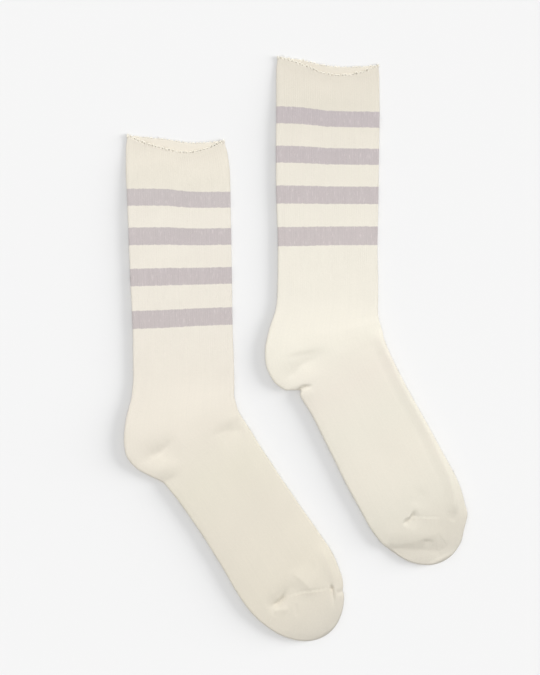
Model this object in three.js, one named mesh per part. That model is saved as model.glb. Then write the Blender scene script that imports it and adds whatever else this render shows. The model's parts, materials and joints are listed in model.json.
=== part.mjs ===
// A pair of striped crew socks, laid flat side by side. Each sock is one knitted tube, open at its cuff and
// closed at its toe. It lies on its side, so its two layers rest on each other and its edges are soft folds.
// Millimetres, +Z up, +Y towards the cuffs. The origin is the middle of the pair, on the surface below it.
import * as THREE from "three";

const { clamp, degToRad, smoothstep } = THREE.MathUtils;

// Cloth: a ribbed leg and a thicker looped foot
const legWall = 2.0;
const footWall = 2.8;
const foldGap = 0.4;
const ribsAcross = 28;
const ribProfile = [0, 1, 1];
const ribHeight = 0.45;

// Lengths along a sock, measured from the corners of its cuff
const cuffAt = -2;
const hemAt = 8;
const legLength = 208;
const wallChange = { from: 200, to: 240 };
const cuffCurveEnd = 46;
const ankleRadius = 95;

// How many points go round a section, and how many sections there are
const footColumns = 24;
const soleColumns = 12;
const foldSteps = 4;
const toeSections = 11;
const insideToeSections = 7;
const lastRibbedAt = 176;
const ankleSections = [194, 204, 211, 218, 226, 233, 239, 245, 250, 255, 260, 264, 271, 280, 291];
const footSections = [304, 320, 338, 356, 374];
const insideSections = [22, 65, 110, 155, 196, 212, 226, 238, 245, 252, 262, 274, 290, 320, 350];
const narrowestTop = 0.2;
const crownPower = 4;

const cream = new THREE.Color("#ebe6d7");
const mauve = new THREE.Color("#c8bebe");
const plainRatio = new THREE.Color(1, 1, 1);
const stripeRatio = new THREE.Color(mauve.r / cream.r, mauve.g / cream.g, mauve.b / cream.b);

// Sections run square across the middle line. back and front are the half widths to the heel side and to the
// shin side, tilt drops the front end of a knitted row, and air is the clear height between the two layers.
// A fold runs from (at, across) to (toAt, toAcross) on the upper face and lifts or sinks it softly.
const socks = [
  {
    name: "left_sock",
    cuffCentre: [-101.4, 177.2],
    leanDegrees: 1.7,
    turnDegrees: 32,
    toeAt: 390,
    tipAt: 454.2,
    overDip: 11.5,
    underDip: 2.6,
    dipSkew: 0,
    stripes: [
      { from: 42, to: 56 },
      { from: 74, to: 88.5 },
      { from: 108, to: 122.5 },
      { from: 143, to: 158 },
    ],
    sections: [
      { at: -2, back: 41.4, front: 41.0, tilt: 3.4, air: 1.8 },
      { at: 8, back: 42.8, front: 43.2, tilt: 3.3, air: 1.4 },
      { at: 30, back: 43.4, front: 44.9, tilt: 2.9, air: 1.0 },
      { at: 60, back: 42.8, front: 44.5, tilt: 1.9, air: 0.9 },
      { at: 110, back: 42.5, front: 44.0, tilt: 0.4, air: 0.9 },
      { at: 160, back: 41.6, front: 43.2, tilt: -0.6, air: 1.0 },
      { at: 200, back: 42.4, front: 43.4, tilt: 0, air: 1.4 },
      { at: 212, back: 44.0, front: 43.2, tilt: 0, air: 1.7 },
      { at: 226, back: 52.4, front: 42.0, tilt: 0, air: 2.2 },
      { at: 238, back: 59.4, front: 41.7, tilt: 0, air: 2.6 },
      { at: 244.5, back: 61.4, front: 41.3, tilt: 0, air: 2.7 },
      { at: 251, back: 59.2, front: 40.9, tilt: 0, air: 2.7 },
      { at: 262, back: 50.2, front: 41.0, tilt: 0, air: 2.5 },
      { at: 272, back: 45.6, front: 41.0, tilt: 0, air: 2.3 },
      { at: 290, back: 43.4, front: 40.3, tilt: 0, air: 2.1 },
      { at: 320, back: 42.8, front: 40.2, tilt: 0, air: 2.1 },
      { at: 350, back: 43.4, front: 40.4, tilt: 0, air: 2.3 },
      { at: 390, back: 45.3, front: 41.2, tilt: 0, air: 2.8 },
    ],
    folds: [
      { at: 247, across: -54, toAt: 244, toAcross: -21, width: 6, lift: -1.1 },
      { at: 253, across: -50, toAt: 256, toAcross: -25, width: 6, lift: 0.8 },
      { at: 271, across: -38, toAt: 268, toAcross: -24, width: 7, lift: -0.7 },
      { at: 257, across: 14, toAt: 261, toAcross: 34, width: 8, lift: -0.9 },
      { at: 408, across: -30, toAt: 402, toAcross: 3, width: 5, lift: -1.2 },
      { at: 415, across: -26, toAt: 419, toAcross: -6, width: 5, lift: 0.6 },
      { at: 412, across: 29, toAt: 430, toAcross: 22, width: 5, lift: -0.8 },
    ],
  },
  {
    name: "right_sock",
    cuffCentre: [27.3, 242.7],
    leanDegrees: 0,
    turnDegrees: 28,
    toeAt: 385,
    tipAt: 445.3,
    overDip: 9.4,
    underDip: 2.4,
    dipSkew: 0.45,
    stripes: [
      { from: 38.5, to: 52.5 },
      { from: 71, to: 85 },
      { from: 104, to: 119 },
      { from: 138.5, to: 154.5 },
    ],
    sections: [
      { at: -2, back: 42.6, front: 43.2, tilt: 3.4, air: 1.8 },
      { at: 8, back: 43.6, front: 43.9, tilt: 3.2, air: 1.4 },
      { at: 40, back: 43.7, front: 44.0, tilt: 2.3, air: 1.0 },
      { at: 75, back: 44.0, front: 43.5, tilt: 1.2, air: 0.9 },
      { at: 120, back: 43.4, front: 43.0, tilt: 0.2, air: 0.9 },
      { at: 155, back: 42.2, front: 42.4, tilt: -0.5, air: 1.0 },
      { at: 196, back: 42.8, front: 42.9, tilt: 0, air: 1.4 },
      { at: 207, back: 43.8, front: 42.8, tilt: 0, air: 1.6 },
      { at: 220, back: 51.0, front: 42.7, tilt: 0, air: 2.1 },
      { at: 231, back: 57.6, front: 42.8, tilt: 0, air: 2.5 },
      { at: 240, back: 60.2, front: 42.9, tilt: 0, air: 2.7 },
      { at: 247, back: 59.0, front: 42.3, tilt: 0, air: 2.7 },
      { at: 254, back: 53.5, front: 40.8, tilt: 0, air: 2.6 },
      { at: 260, back: 43.4, front: 39.9, tilt: 0, air: 2.4 },
      { at: 268, back: 44.2, front: 38.9, tilt: 0, air: 2.2 },
      { at: 284, back: 43.2, front: 38.3, tilt: 0, air: 2.0 },
      { at: 320, back: 44.2, front: 38.6, tilt: 0, air: 2.1 },
      { at: 350, back: 45.0, front: 39.3, tilt: 0, air: 2.3 },
      { at: 385, back: 44.8, front: 40.2, tilt: 0, air: 2.8 },
    ],
    folds: [
      { at: 236, across: -47, toAt: 240, toAcross: -11, width: 6, lift: -0.9 },
      { at: 250, across: -38, toAt: 246, toAcross: -18, width: 6, lift: 0.8 },
      { at: 259, across: -43, toAt: 261, toAcross: -29, width: 5, lift: -1.4 },
      { at: 262, across: 12, toAt: 268, toAcross: 33, width: 9, lift: -0.6 },
      { at: 402, across: -20, toAt: 398, toAcross: -6, width: 5, lift: -1.3 },
      { at: 422, across: -16, toAt: 427, toAcross: 4, width: 6, lift: -1.2 },
      { at: 368, across: 32, toAt: 418, toAcross: 23, width: 5, lift: -0.9 },
    ],
  },
];

// Reads one column of a table on a smooth curve that never overshoots its rows
function readColumn(rows, column, at) {
  const last = rows.length - 1;
  if (at <= rows[0].at) return rows[0][column];
  if (at >= rows[last].at) return rows[last][column];
  const slopeAfter = (k) => (rows[k + 1][column] - rows[k][column]) / (rows[k + 1].at - rows[k].at);
  const slopeAt = (k) => {
    if (k === 0 || k === last) return 0;
    const product = slopeAfter(k - 1) * slopeAfter(k);
    return product > 0 ? (2 * product) / (slopeAfter(k - 1) + slopeAfter(k)) : 0;
  };
  const k = rows.findIndex((row, index) => index < last && at < rows[index + 1].at);
  const span = rows[k + 1].at - rows[k].at;
  const t = (at - rows[k].at) / span;
  const rest = 1 - t;
  const ends = rows[k][column] * rest * rest * (1 + 2 * t) + rows[k + 1][column] * t * t * (3 - 2 * t);
  return ends + span * t * rest * (slopeAt(k) * rest - slopeAt(k + 1) * t);
}

function wallAt(at) {
  return legWall + (footWall - legWall) * smoothstep(at, wallChange.from, wallChange.to);
}

// The section of a sock's outside (inset 0) or of its hollow (inset of one wall): two flat faces between two
// round folds, narrowed as a half ellipse over the toe
function sectionAt(sock, at, inset) {
  const back = readColumn(sock.sections, "back", at);
  const front = readColumn(sock.sections, "front", at);
  const toeLength = sock.tipAt - inset - sock.toeAt;
  const intoToe = clamp((at - sock.toeAt) / toeLength, 0, 1);
  const narrowing = Math.sqrt(1 - intoToe ** 2);
  const fullHalf = (back + front) / 2 - inset;
  const half = fullHalf * narrowing;
  const radius = wallAt(at) + foldGap / 2 - inset;
  const slope = ((fullHalf / toeLength) * intoToe) / Math.max(narrowing, Number.EPSILON);
  const foldWidth = Math.min(radius * Math.hypot(1, slope), half * (1 - narrowestTop));
  const tipNearness = clamp(1 - (sock.tipAt - inset - at) / radius, 0, 1);
  return {
    at,
    half,
    foldWidth,
    centre: (front - back) / 2,
    middle: wallAt(at) + foldGap / 2,
    rise: radius * Math.sqrt(1 - tipNearness ** 2),
    tilt: readColumn(sock.sections, "tilt", at),
    air: readColumn(sock.sections, "air", at) * narrowing,
  };
}

// How far the soft folds lift the upper face at one point of it
function foldLift(sock, at, across) {
  return sock.folds.reduce((total, fold) => {
    const run = new THREE.Vector2(fold.toAt - fold.at, fold.toAcross - fold.across);
    const offset = new THREE.Vector2(at - fold.at, across - fold.across);
    const along = clamp(offset.dot(run) / run.lengthSq(), 0, 1);
    const distance = offset.addScaledVector(run, -along).length();
    return total + fold.lift * Math.exp(-((distance / fold.width) ** 2));
  }, 0);
}

// Puts a point of a section in place: down the leg, round the ankle and out along the foot
function placePoint(sock, section, across, height, dip) {
  const q = section.half > 0 ? (across - section.centre) / section.half : 0;
  const fade = clamp((cuffCurveEnd - section.at) / (cuffCurveEnd - cuffAt), 0, 1) ** 2;
  const along = section.at + section.tilt * q + dip * (1 - q * q) * (1 + sock.dipSkew * q) * fade;
  const turn = clamp((along - legLength) / ankleRadius, 0, degToRad(sock.turnDegrees));
  const leg = Math.min(along, legLength);
  const foot = Math.max(along - legLength - ankleRadius * turn, 0);
  const x = ankleRadius * (1 - Math.cos(turn)) + foot * Math.sin(turn) + across * Math.cos(turn);
  const y = -leg - ankleRadius * Math.sin(turn) - foot * Math.cos(turn) + across * Math.sin(turn);
  return new THREE.Vector3(x, y, height);
}

// One closed loop of points: over the upper face, down the front fold, back along the sole side and up again.
// Each point keeps its place round the loop, from 0 to 4, so that loops of different counts can be joined.
function makeLoop(sock, at, inset, columns) {
  const section = sectionAt(sock, at, inset);
  const flat = section.half - section.foldWidth;
  const outside = inset === 0;
  const ribbed = columns > footColumns;
  const points = [];
  const places = [];
  const add = (place, across, height, dip) => {
    points.push(placePoint(sock, section, across, height, dip));
    places.push(place);
  };
  for (let i = 0; i < columns; i += 1) {
    const q = (2 * i) / columns - 1;
    const across = section.centre + flat * q;
    const crown = section.air * (1 - Math.abs(q) ** crownPower);
    const rib = ribbed ? ribHeight * ribProfile[i % ribProfile.length] : 0;
    const folds = outside ? foldLift(sock, at, across) * (1 - q ** 2) : 0;
    add(i / columns, across, section.middle + section.rise + crown + rib + folds, sock.overDip);
  }
  for (let i = 0; i < foldSteps; i += 1) {
    const angle = (Math.PI * i) / foldSteps;
    const across = section.centre + flat + section.foldWidth * Math.sin(angle);
    add(1 + i / foldSteps, across, section.middle + section.rise * Math.cos(angle), 0);
  }
  for (let i = 0; i < soleColumns; i += 1) {
    const across = section.centre + flat * (1 - (2 * i) / soleColumns);
    add(2 + i / soleColumns, across, section.middle - section.rise, sock.underDip);
  }
  for (let i = 0; i < foldSteps; i += 1) {
    const angle = (Math.PI * i) / foldSteps;
    const across = section.centre - flat - section.foldWidth * Math.sin(angle);
    add(3 + i / foldSteps, across, section.middle - section.rise * Math.cos(angle), 0);
  }
  return { points, places, steps: points.length };
}

function makeTip(sock, inset) {
  const section = sectionAt(sock, sock.tipAt - inset, inset);
  return { points: [placePoint(sock, section, section.centre, section.middle, 0)], places: [0], steps: 0 };
}

// Distances of the toe sections, evenly spread round the half ellipse of the toe
function toeSectionsOf(sock, inset, count) {
  const toeLength = sock.tipAt - inset - sock.toeAt;
  const quarter = Math.PI / 2;
  return Array.from({ length: count }, (_, i) => sock.toeAt + toeLength * Math.sin((quarter * i) / count));
}

// Fills the band between two loops
function bridge(skin, near, far, ratio) {
  let i = 0;
  let j = 0;
  const nextPlace = (loop, index) => (index < loop.steps ? loop.places[index + 1] ?? 4 : Infinity);
  while (i < near.steps || j < far.steps) {
    const a = near.first + (i % near.points.length);
    const b = far.first + (j % far.points.length);
    if (nextPlace(near, i) <= nextPlace(far, j)) {
      i += 1;
      skin.triangles.push(a, b, near.first + (i % near.points.length));
    } else {
      j += 1;
      skin.triangles.push(a, b, far.first + (j % far.points.length));
    }
    skin.ratios.push(ratio);
  }
}

// One sock as a closed skin: from the tip of its hollow to the cuff, over the rim and back to the tip outside
function sockGeometry(sock) {
  const ribbedSections = [cuffAt, hemAt, ...sock.stripes.flatMap(({ from, to }) => [from, to]), lastRibbedAt];
  const hollow = [cuffAt, ...insideSections, ...toeSectionsOf(sock, footWall, insideToeSections)];
  const inner = hollow.map((at) => makeLoop(sock, at, wallAt(at), soleColumns)).reverse();
  const ribbed = ribbedSections.map((at) => makeLoop(sock, at, 0, ribsAcross * ribProfile.length));
  const plain = [...ankleSections, ...footSections, ...toeSectionsOf(sock, 0, toeSections)];
  const smooth = plain.map((at) => makeLoop(sock, at, 0, footColumns));
  const loops = [makeTip(sock, footWall), ...inner, ...ribbed, ...smooth, makeTip(sock, 0)];
  const skin = { triangles: [], ratios: [] };
  const positions = [];
  for (const loop of loops) {
    loop.first = positions.length / 3;
    loop.points.forEach((point) => positions.push(point.x, point.y, point.z));
  }
  const firstOutside = inner.length + 1;
  for (let k = 0; k < loops.length - 1; k += 1) {
    const at = ribbedSections[k - firstOutside];
    const striped = sock.stripes.some(({ from }) => from === at);
    bridge(skin, loops[k], loops[k + 1], striped ? stripeRatio : plainRatio);
  }
  const smoothSkin = new THREE.BufferGeometry();
  smoothSkin.setAttribute("position", new THREE.Float32BufferAttribute(positions, 3));
  smoothSkin.setIndex(skin.triangles);
  smoothSkin.computeVertexNormals();
  const geometry = smoothSkin.toNonIndexed();
  const colours = skin.ratios.flatMap((ratio) => [0, 1, 2].flatMap(() => ratio.toArray()));
  geometry.setAttribute("color", new THREE.Float32BufferAttribute(colours, 3));
  return geometry;
}

function makeSock(sock) {
  const look = { color: cream, vertexColors: true, roughness: 0.95, metalness: 0 };
  const knit = new THREE.MeshStandardMaterial(look);
  const mesh = new THREE.Mesh(sockGeometry(sock), knit);
  mesh.name = sock.name;
  mesh.position.set(...sock.cuffCentre, 0);
  mesh.rotation.z = degToRad(sock.leanDegrees);
  return mesh;
}

// The pair, moved so that the origin is exactly in the middle of it, on the surface
const pair = new THREE.Group();
pair.add(...socks.map(makeSock));
const bounds = new THREE.Box3().setFromObject(pair, true);
const middle = bounds.getCenter(new THREE.Vector3());
pair.position.set(-middle.x, -middle.y, -bounds.min.z);

export default pair;
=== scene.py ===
import json
import math

import bpy
import numpy as np
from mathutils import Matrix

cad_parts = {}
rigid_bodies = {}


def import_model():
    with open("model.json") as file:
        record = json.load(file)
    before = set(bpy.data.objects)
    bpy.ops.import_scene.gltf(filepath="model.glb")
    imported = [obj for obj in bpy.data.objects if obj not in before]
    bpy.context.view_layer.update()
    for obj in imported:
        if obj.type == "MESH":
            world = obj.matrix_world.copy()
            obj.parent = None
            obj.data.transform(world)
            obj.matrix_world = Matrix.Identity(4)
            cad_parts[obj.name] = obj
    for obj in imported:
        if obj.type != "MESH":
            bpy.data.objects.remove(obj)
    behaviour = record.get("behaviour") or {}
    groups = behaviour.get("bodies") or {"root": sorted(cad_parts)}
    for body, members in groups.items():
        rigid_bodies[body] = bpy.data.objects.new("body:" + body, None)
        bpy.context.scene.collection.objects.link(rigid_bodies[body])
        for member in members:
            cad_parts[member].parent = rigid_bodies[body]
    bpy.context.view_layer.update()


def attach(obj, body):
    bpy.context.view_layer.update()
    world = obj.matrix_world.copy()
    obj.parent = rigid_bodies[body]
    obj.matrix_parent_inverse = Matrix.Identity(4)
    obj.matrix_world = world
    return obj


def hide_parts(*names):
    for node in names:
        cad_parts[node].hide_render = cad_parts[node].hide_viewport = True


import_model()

bl_info = {
    "name": "Pair of Striped Crew Socks",
    "version": (1, 0, 0),
    "blender": (4, 5, 0),
    "location": "3D View > Sidebar > Socks",
    "description": "Knits a pair of ribbed, striped crew socks laid flat side by side",
    "category": "Object",
}

# Lengths are in millimetres until a mesh is filled, and along a sock they run from the corners of its cuff.
MM = 0.001
# The middle line: a straight leg, an arc round the ankle and a straight foot, moved so that the pair is centred
LEG_LENGTH, ANKLE_RADIUS = 208.0, 95.0
PAIR_SHIFT = (0.5106, -0.2674)
# The clear height inside a fold, and the stretches over which it opens and the cloth and the folds change
CUFF_GAP, OPEN_GAP = 0.1, 1.2
GAP_FROM, GAP_TO = 4.0, 75.0
THICKER_FROM, THICKER_TO = 200.0, 240.0
PRESSED_FROM, PRESSED_TO, ROUND_FOOT_AT = 22, 52, 260.0
# The cuff: where its edge is, where its dip and its flatness end, and how much of the air is left at its edge
CUFF_AT, CUFF_CURVE_END, CUFF_FLAT_END, CUFF_AIR_SHARE = -2.0, 46.0, 34.0, 0.15
# Ribs round a sock, with the heights of a rib's columns from the sunk one on
RIBS_ROUND, COLUMNS_A_RIB, WALES_A_RIB = 96, 3, 2
RIB_PROFILE = np.array([0.0, 1.0, 1.0])
RIBS_FADE_FROM, RIBS_FADE_TO = 168.0, 214.0
# Folds: how far the upper half reaches in, as a share of the lower half, and the power of both halves' rounding
CUFF_ROUNDNESS, LEG_ROUNDNESS, FOOT_ROUNDNESS, FULLNESS = 4.0, 0.65, 0.6, 0.8
SMALLEST_TOP = 0.2
# The powers of the crown of air, lower over the toe on its heel side
LEG_CROWN, FOOT_CROWN, TOE_CROWN = 9.0, 5.0, 2.4
ROUNDER_FROM, ROUNDER_TO = 330.0, 392.0
# How far a knitted row's drop is one soft step, over this width, and not a plain slant
STEP_SHARE, STEP_WIDTH = 0.65, 12
# A crease reaches this many times its width and falls off with this power. Slow waves are this many and this long
CREASE_REACH, CREASE_FALL = 2.2, 1.6
WAVES, WAVE_LENGTHS = 6, (24, 90)
# What the inside of the cloth feels of ribs, and loses of creases, and how close together the layers may come
RIB_INSIDE, CREASE_LOST_INSIDE, HOLLOW_CLEAR = 0.35, 0.15, 0.08
# The level about which ribs rise and sink, their share on the folds, and the last stretch that stays plain
RIB_LEVEL, SIDE_RIB_SHARE = 0.6, 0.5
PLAIN_TIP_FROM, PLAIN_TIP_TO = 6, 1
# The closed toe's seam: heights of its ridge, groove and puckers, and how wide they are to either side
SEAM_RIDGE, SEAM_GROOVE, SEAM_PUCKER, SEAM_PUCKERS = 0.23, 0.25, 0.05, 17
SEAM_TO_TIP, SEAM_TO_LEG = 3.0, 0.9
GROOVE_OFF, GROOVE_WIDTH = 1.8, 0.8
# The linking yarn: thickness, overlap, slant and arch, its depth where it is drawn in, its rise where it shows, and
# the bare lengths at its ends
SEAM_YARN, SEAM_OVERLAP, SEAM_SLANT, SEAM_ARCH = 0.4, 1.15, 0.9, 0.1
SEAM_DRAWN_IN, SEAM_RISE, SEAM_ENDS = 0.45, 0.25, (2.2, 3.2)
# Cast-on loops: number, half width, height, share of the height on the lower layer, and depth of the feet
LOOPS_ROUND = 56
LOOP_WIDTH, LOOP_HEIGHT, LOWER_LOOP, LOOP_FEET = (1.0, 1.3), (1.3, 2.5), 0.55, 0.5
# Corners of the swept tubes' sections
YARN_SIDES, FIBRE_SIDES = 6, 3
# Loose fibres: lengths, the share along the folds, and one in how many fringes the cuff, so many times thicker
FIBRE_LENGTH, FRINGE_LENGTH = (0.8, 2.6), (1.0, 2.6)
FOLD_FIBRES, FRINGE_EVERY, FRINGE_WIDTH = 0.55, 6, 1.5
# Rings of the outside and of the hollow: from, to, spacing. Those of the seam lie round the toe's start, and the
# spacings after them are at the cuff, along the foot and over the seam
CUFF_RINGS_END, SEAM_RINGS_FROM, SEAM_RINGS_TO, HOLLOW_SHORTER = 12, -2, 49, 6
OUTER_RINGS = ((12, 200, 3.3), (200, 225, 2.5), (225, 252, 1.35), (252, 268, 0.8), (268, 288, 1.6))
INNER_RINGS = ((12, 200, 10), (200, 290, 4.5))
OUTER_SPACINGS, INNER_SPACINGS = (0.8, 2.9, 1.0), (1.5, 8, 4)
OUTER_TOE_RINGS, INNER_TOE_RINGS, RIM_RINGS = 24, 10, 6
# Where the outside, the hollow and the rim lie in the square of the bake map: start and width, or bottom and top
OUTER_U, INNER_U = (0.006, 0.70), (0.72, 0.27)
BAKE_TOP, BAKE_BOTTOM, RIM_V, TIPS_V = 0.992, 0.012, 0.004, (0.006, 0.010)
# Wales are counted on from here down the hollow, so that the material can tell the inside
INNER_WALES = 9600

# Rows of a table of sections: distance along, half width to the heel side, half width to the shin side,
# how far a knitted row drops towards the shin, and the clear height between the two layers
LEFT_SECTIONS = [
    (-2, 41.4, 41.0, 3.4, 1.8),
    (8, 42.8, 43.2, 3.3, 1.4),
    (30, 43.4, 44.9, 2.9, 1.0),
    (60, 42.8, 44.5, 1.9, 0.9),
    (110, 42.5, 44.0, 0.4, 0.9),
    (160, 41.6, 43.2, -0.6, 1.0),
    (200, 42.4, 43.4, 0, 1.4),
    (212, 44.0, 43.2, 0, 1.7),
    (226, 52.4, 42.0, 0, 2.5),
    (238, 59.4, 41.7, 0, 3.2),
    (244.5, 61.4, 41.3, 0, 3.4),
    (251, 59.2, 40.9, 0, 3.4),
    (262, 50.2, 41.0, 0, 3.1),
    (272, 45.6, 41.0, 0, 2.7),
    (290, 43.4, 40.3, 0, 2.3),
    (320, 42.8, 40.2, 0, 2.1),
    (350, 43.4, 40.4, 0, 2.3),
    (390, 45.3, 41.2, 0, 3.4),
]
RIGHT_SECTIONS = [
    (-2, 42.6, 43.2, 3.4, 1.8),
    (8, 43.6, 43.9, 3.2, 1.4),
    (40, 43.7, 44.0, 2.3, 1.0),
    (75, 44.0, 43.5, 1.2, 0.9),
    (120, 43.4, 43.0, 0.2, 0.9),
    (155, 42.2, 42.4, -0.5, 1.0),
    (196, 42.8, 42.9, 0, 1.4),
    (207, 43.8, 42.8, 0, 1.6),
    (220, 51.0, 42.7, 0, 2.1),
    (231, 57.6, 42.8, 0, 3.0),
    (240, 60.2, 42.9, 0, 3.3),
    (247, 59.0, 42.3, 0, 3.3),
    (254, 53.5, 40.8, 0, 3.05),
    (260, 44.0, 39.9, 0, 2.85),
    (268, 44.2, 38.9, 0, 2.6),
    (284, 43.2, 38.3, 0, 2.25),
    (320, 44.2, 38.6, 0, 2.1),
    (350, 45.0, 39.3, 0, 2.3),
    (385, 44.8, 40.2, 0, 3.4),
]

# A crease follows its points, each a distance along and a distance across. It sinks the cloth by its depth at the
# line, or lifts it where the depth is negative, and dies away over a width on the right and another on the left of
# someone who walks along the points. It is sharp at the line or rounded over some millimetres, and it comes in and
# goes out over two shares of its length. Walking towards the shin side, the right hand points to the toe.
def crease(points, depth, right, left, rounded=1.5, ends=(0.35, 0.35)):
    return dict(points=points, depth=depth, right=right, left=left, rounded=rounded, ends=ends)


LEFT_CREASES = [
    crease([(250, -58), (251, -44), (250.8, -32), (248.5, -24), (245, -14)], 3.0, 8.0, 5.5, 0.6, (0.4, 0.5)),
    crease([(249.8, -46), (250.2, -36), (249.4, -28), (245, -21)], 0.5, 1.3, 1.6, 0.3),
    crease([(258.5, -50), (259.5, -38), (261.0, -22)], -0.6, 4.0, 4.0, 1.5),
    crease([(268, -54), (269.5, -43), (272, -34), (277, -24)], 1.6, 6.0, 4.6, 0.8, (0.1, 0.75)),
    crease([(259, 6), (261.5, 18), (265, 27), (271.5, 38)], 1.9, 13.0, 6.5, 0.7, (0.6, 0.2)),
    crease([(407, -33), (408.6, -24), (407.6, -17), (404.5, -10), (400, 0)], 2.3, 4.5, 4.6, 0.5, (0.3, 0.5)),
    crease([(407.4, -26), (408.2, -21), (407.2, -16), (404.5, -10)], 2.1, 1.6, 0.8, 0.2, (0.35, 0.5)),
    crease([(411.5, -29), (414.2, -23), (418.5, -15)], -0.8, 2.4, 1.3, 0.4, (0.25, 0.4)),
    crease([(416.5, -8), (422, -11), (428, -14.5)], 0.4, 1.4, 1.2, 0.4),
    crease([(388, 1), (400, 6), (410, 8), (421, 9.5)], -2.1, 4.5, 7.0, 0.7, (0.5, 0.4)),
    crease([(384, 36.5), (398, 34), (410, 31.5), (423, 27)], -1.3, 3.2, 4.0, 0.8, (0.4, 0.3)),
    crease([(418, 26.8), (423.5, 23.8), (431, 20.5), (440, 16)], 1.5, 1.2, 1.2, 0.3, (0.3, 0.6)),
    crease([(421.5, 25.5), (425.5, 22.5)], 1.2, 1.1, 1.1, 0.3, (0.4, 0.4)),
    crease([(428.5, 24), (431, 31)], 0.9, 1.6, 1.5, 0.4, (0.4, 0.05)),
]
RIGHT_CREASES = [
    crease([(249, -58), (247.6, -42), (244.8, -31), (243.8, -18), (243, -2)], 2.5, 7.0, 4.6, 0.6, (0.35, 0.5)),
    crease([(235.6, -48), (238, -35), (239.3, -22), (240.5, -10)], 0.5, 1.8, 0.8, 0.25),
    crease([(261, -52), (260, -45), (258.7, -41), (258.8, -37), (262, -30)], 2.3, 1.8, 0.7, 0.2, (0.02, 0.35)),
    crease([(265.5, -46), (267, -30)], -0.4, 3.0, 2.2, 0.8),
    crease(
        [(235, 40), (262, 37.5), (300, 36), (345, 37), (384, 35.5), (402, 31), (419, 23)],
        -2.2, 3.8, 2.4, 1.0, (0.12, 0.08),
    ),
    crease([(402, -19.5), (399.6, -14), (399.8, -10.5), (397, -6), (395, -2.5)], 2.4, 4.5, 0.7, 0.2, (0.3, 0.35)),
    crease([(394, -3), (386, 5), (382, 12)], 0.6, 5.0, 5.0, 1.5),
    crease([(405, -46), (414, -30), (419, -18), (420, -7), (421, 4), (424, 14)], -1.1, 4.5, 9.0, 0.7, (0.15, 0.4)),
    crease([(411, -46), (418.5, -30), (428, -14), (435.2, -3), (436, 7), (432, 15)], 2.3, 12.0, 6.0, 0.8, (0.15, 0.35)),
    crease([(421, -12), (423.5, -7), (427, -1.5)], 0.9, 3.0, 0.9, 0.25),
    crease([(412, 26.5), (419.5, 19)], 0.5, 3.6, 1.6, 0.5),
]
# The same kind of creases under the socks, where the cloth lifts a little off what it lies on
LEFT_SOLE_CREASES = [
    crease([(238, -50), (249, -34), (252, -12)], 0.6, 5.0, 5.0),
    crease([(262, 34), (257, 18), (262, 2)], 0.45, 6.0, 6.0),
    crease([(402, 26), (409, 6), (405, -18)], 0.6, 4.0, 4.0),
    crease([(426, 14), (431, -4)], 0.4, 3.0, 3.0),
]
RIGHT_SOLE_CREASES = [
    crease([(229, -38), (241, -30), (247, -10)], 0.5, 5.5, 5.5),
    crease([(258, -42), (262, -26)], 0.7, 3.0, 3.0),
    crease([(398, 20), (404, -2), (400, -24)], 0.6, 3.6, 3.6),
    crease([(372, -30), (410, -22)], 0.4, 5.0, 5.0),
]
# A nick pulls in the outline at one distance along, on the heel side (-1) or the shin side (1)
LEFT_NICKS = [
    dict(at=430.5, side=1, depth=0.9, width=2.4),
    dict(at=421.0, side=1, depth=-0.5, width=5.0),
]
RIGHT_NICKS = [
    dict(at=260.8, side=-1, depth=1.4, width=1.7),
    dict(at=419.0, side=1, depth=-1.7, width=5.5),
    dict(at=431.0, side=1, depth=1.2, width=5.0),
]

SOCKS = {
    "left_sock": dict(
        cuff_centre=(-101.4, 177.2),
        lean=1.7,
        turn=32.0,
        toe_at=390.0,
        tip_at=454.2,
        over_dip=11.5,
        under_dip=2.6,
        dip_skew=0.0,
        step_at=0.0,
        sections=LEFT_SECTIONS,
        creases=LEFT_CREASES,
        sole_creases=LEFT_SOLE_CREASES,
        nicks=LEFT_NICKS,
        stripes=[(42.0, 56.0), (74.0, 88.5), (108.0, 122.5), (143.0, 158.0)],
        toe_seam=[(407, -27), (409, -16), (411, -6), (413.5, 2), (417, 8), (420, 14), (424, 23), (429, 31)],
        seam_shows=(0.2, 0.38, 0.78, 0.9),
        seed=11,
    ),
    "right_sock": dict(
        cuff_centre=(27.3, 242.7),
        lean=0.0,
        turn=28.0,
        toe_at=385.0,
        tip_at=445.3,
        over_dip=9.4,
        under_dip=2.4,
        dip_skew=0.45,
        step_at=-12.0,
        sections=RIGHT_SECTIONS,
        creases=RIGHT_CREASES,
        sole_creases=RIGHT_SOLE_CREASES,
        nicks=RIGHT_NICKS,
        stripes=[(38.5, 52.5), (71.0, 85.0), (104.0, 119.0), (138.5, 154.5)],
        toe_seam=[(402.5, -20), (400.5, -9), (405, -1), (412, 12), (416.5, 23), (420.5, 33)],
        seam_shows=(0.1, 0.24, 0.45, 0.65),
        seed=23,
    ),
}
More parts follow.
